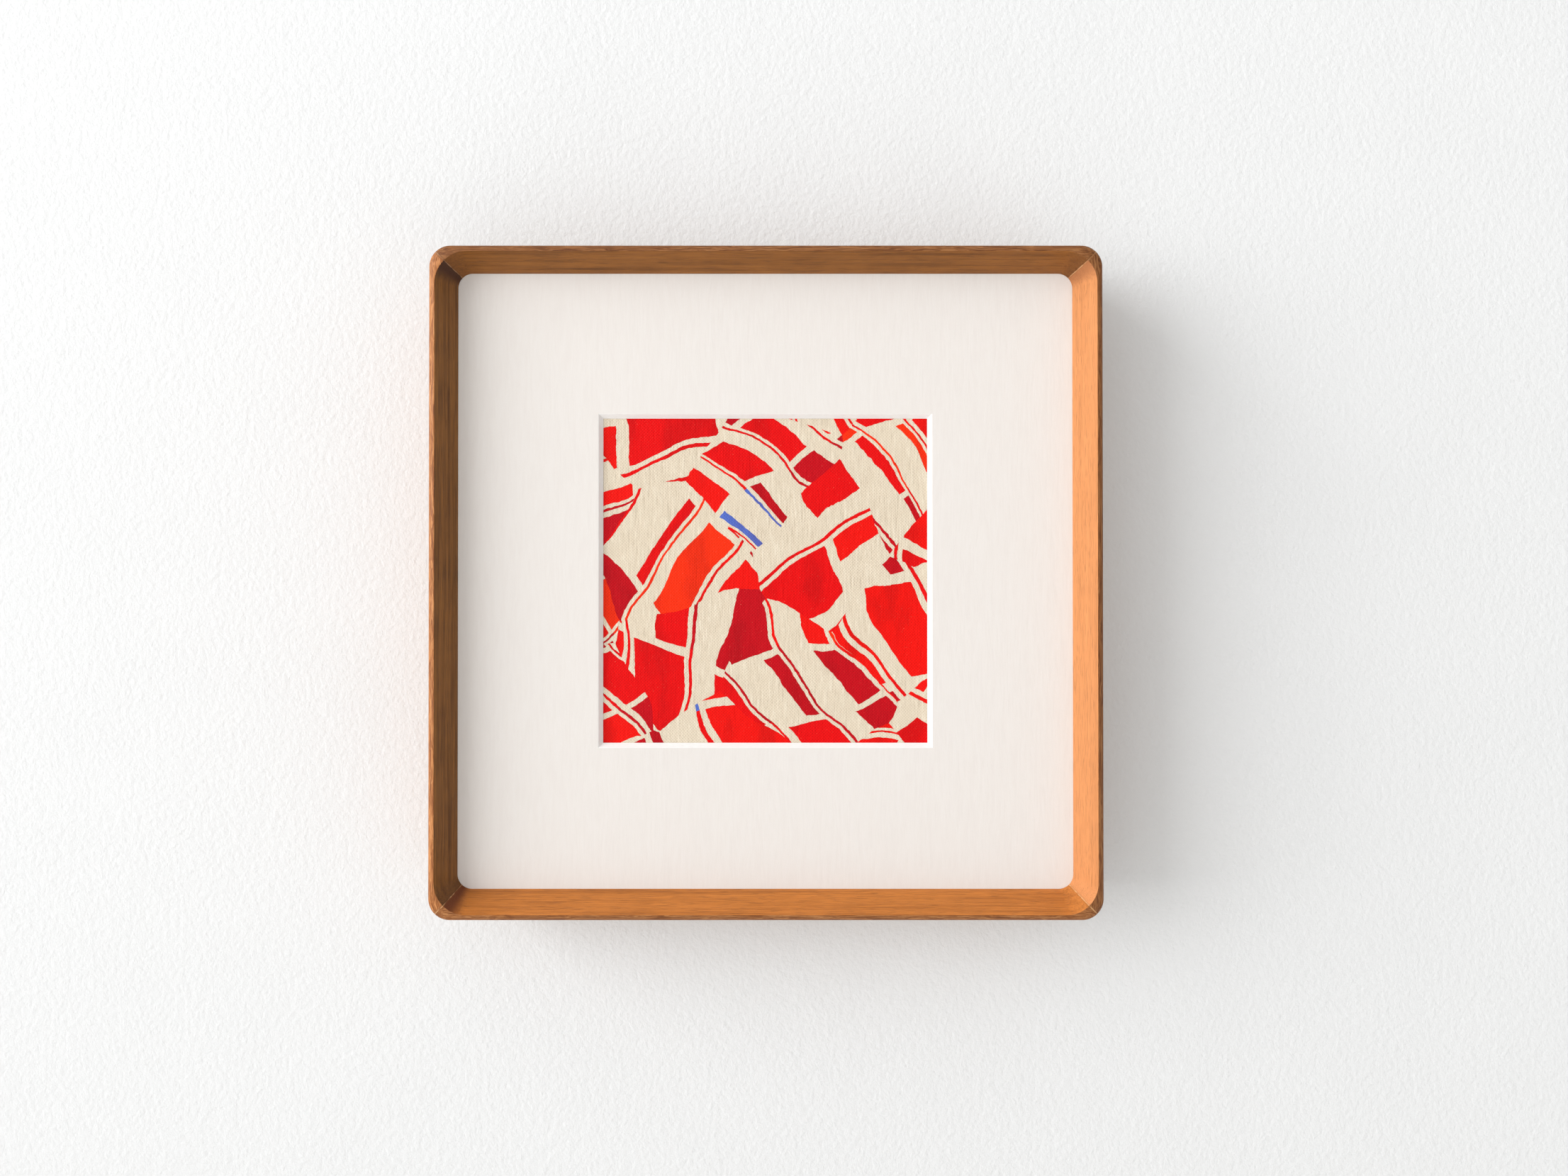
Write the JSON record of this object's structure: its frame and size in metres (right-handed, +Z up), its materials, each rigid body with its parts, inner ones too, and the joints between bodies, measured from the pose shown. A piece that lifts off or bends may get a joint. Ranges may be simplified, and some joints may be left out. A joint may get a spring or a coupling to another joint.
{
  "type": "floating frame",
  "caption": "Slim square hardwood box frame with splayed inner faces and rounded corners round a window mat and small painting, held off the wall by a cleat.",
  "frame": {"origin": "in the wall plane, midway between the wall cleat's two screw holes", "axes": "+X to the right and +Z up for someone who looks at the picture, +Y from the picture into the wall"},
  "size_m": [0.31, 0.0535, 0.31],
  "materials": {
    "frame_hardwood": "satin oil",
    "key_hardwood": "satin oil",
    "mat_board": "matte",
    "painted_linen": "matte",
    "panel_board": "matte",
    "sink_board": "matte",
    "linen_tape": "matte",
    "hinge_paper": "matte",
    "backing_card": "matte",
    "filler_card": "matte",
    "birch_plywood": "unfinished",
    "cleat_plywood": "sanded",
    "zinc_steel": "zinc plated",
    "brass": "satin",
    "bumper_felt": "felt"
  },
  "bodies": {
    "wall_mount": {"wall_cleat": "cleat_plywood"},
    "frame": {"rail_top": "frame_hardwood", "rail_right": "frame_hardwood", "rail_bottom": "frame_hardwood", "rail_left": "frame_hardwood", "corner_key_top_left": "key_hardwood", "corner_key_top_right": "key_hardwood", "corner_key_bottom_left": "key_hardwood", "corner_key_bottom_right": "key_hardwood", "window_mat": "mat_board", "artwork_canvas": "painted_linen", "artwork_panel": "panel_board", "sink_strip_top": "sink_board", "sink_strip_bottom": "sink_board", "sink_strip_left": "sink_board", "sink_strip_right": "sink_board", "mat_hinge_tape": "linen_tape", "artwork_hinges": "hinge_paper", "backing_board": "backing_card", "filler_board_front": "filler_card", "filler_board_back": "filler_card", "back_panel": "birch_plywood", "frame_cleat": "cleat_plywood", "lower_spacer": "cleat_plywood", "panel_screws": "zinc_steel", "turn_button_screws": "brass", "bumper_left": "bumper_felt", "bumper_right": "bumper_felt"},
    "turn_button_top_left": {"turn_button_top_left": "zinc_steel"},
    "turn_button_top_right": {"turn_button_top_right": "zinc_steel"},
    "turn_button_right_lower": {"turn_button_right_lower": "zinc_steel"},
    "turn_button_right_upper": {"turn_button_right_upper": "zinc_steel"},
    "turn_button_bottom_left": {"turn_button_bottom_left": "zinc_steel"},
    "turn_button_bottom_right": {"turn_button_bottom_right": "zinc_steel"},
    "turn_button_left_lower": {"turn_button_left_lower": "zinc_steel"},
    "turn_button_left_upper": {"turn_button_left_upper": "zinc_steel"}
  },
  "joints": [
    {"name": "lift_off", "type": "slide", "parent": "wall_mount", "child": "frame", "axis": [0, 0, 1], "range_m": [0, 0.014]},
    {"name": "swivel_top_left", "type": "hinge", "parent": "frame", "child": "turn_button_top_left", "pos_m": [-0.085, -0.0114, 0.072], "axis": [0, 1, 0], "range_deg": [-90, 90]},
    {"name": "swivel_top_right", "type": "hinge", "parent": "frame", "child": "turn_button_top_right", "pos_m": [0.085, -0.0114, 0.072], "axis": [0, 1, 0], "range_deg": [-90, 90]},
    {"name": "swivel_right_lower", "type": "hinge", "parent": "frame", "child": "turn_button_right_lower", "pos_m": [0.152, -0.0114, -0.165], "axis": [0, 1, 0], "range_deg": [-90, 90]},
    {"name": "swivel_right_upper", "type": "hinge", "parent": "frame", "child": "turn_button_right_upper", "pos_m": [0.152, -0.0114, 0.005], "axis": [0, 1, 0], "range_deg": [-90, 90]},
    {"name": "swivel_bottom_left", "type": "hinge", "parent": "frame", "child": "turn_button_bottom_left", "pos_m": [-0.085, -0.0114, -0.232], "axis": [0, 1, 0], "range_deg": [-90, 90]},
    {"name": "swivel_bottom_right", "type": "hinge", "parent": "frame", "child": "turn_button_bottom_right", "pos_m": [0.085, -0.0114, -0.232], "axis": [0, 1, 0], "range_deg": [-90, 90]},
    {"name": "swivel_left_lower", "type": "hinge", "parent": "frame", "child": "turn_button_left_lower", "pos_m": [-0.152, -0.0114, -0.165], "axis": [0, 1, 0], "range_deg": [-90, 90]},
    {"name": "swivel_left_upper", "type": "hinge", "parent": "frame", "child": "turn_button_left_upper", "pos_m": [-0.152, -0.0114, 0.005], "axis": [0, 1, 0], "range_deg": [-90, 90]}
  ]
}
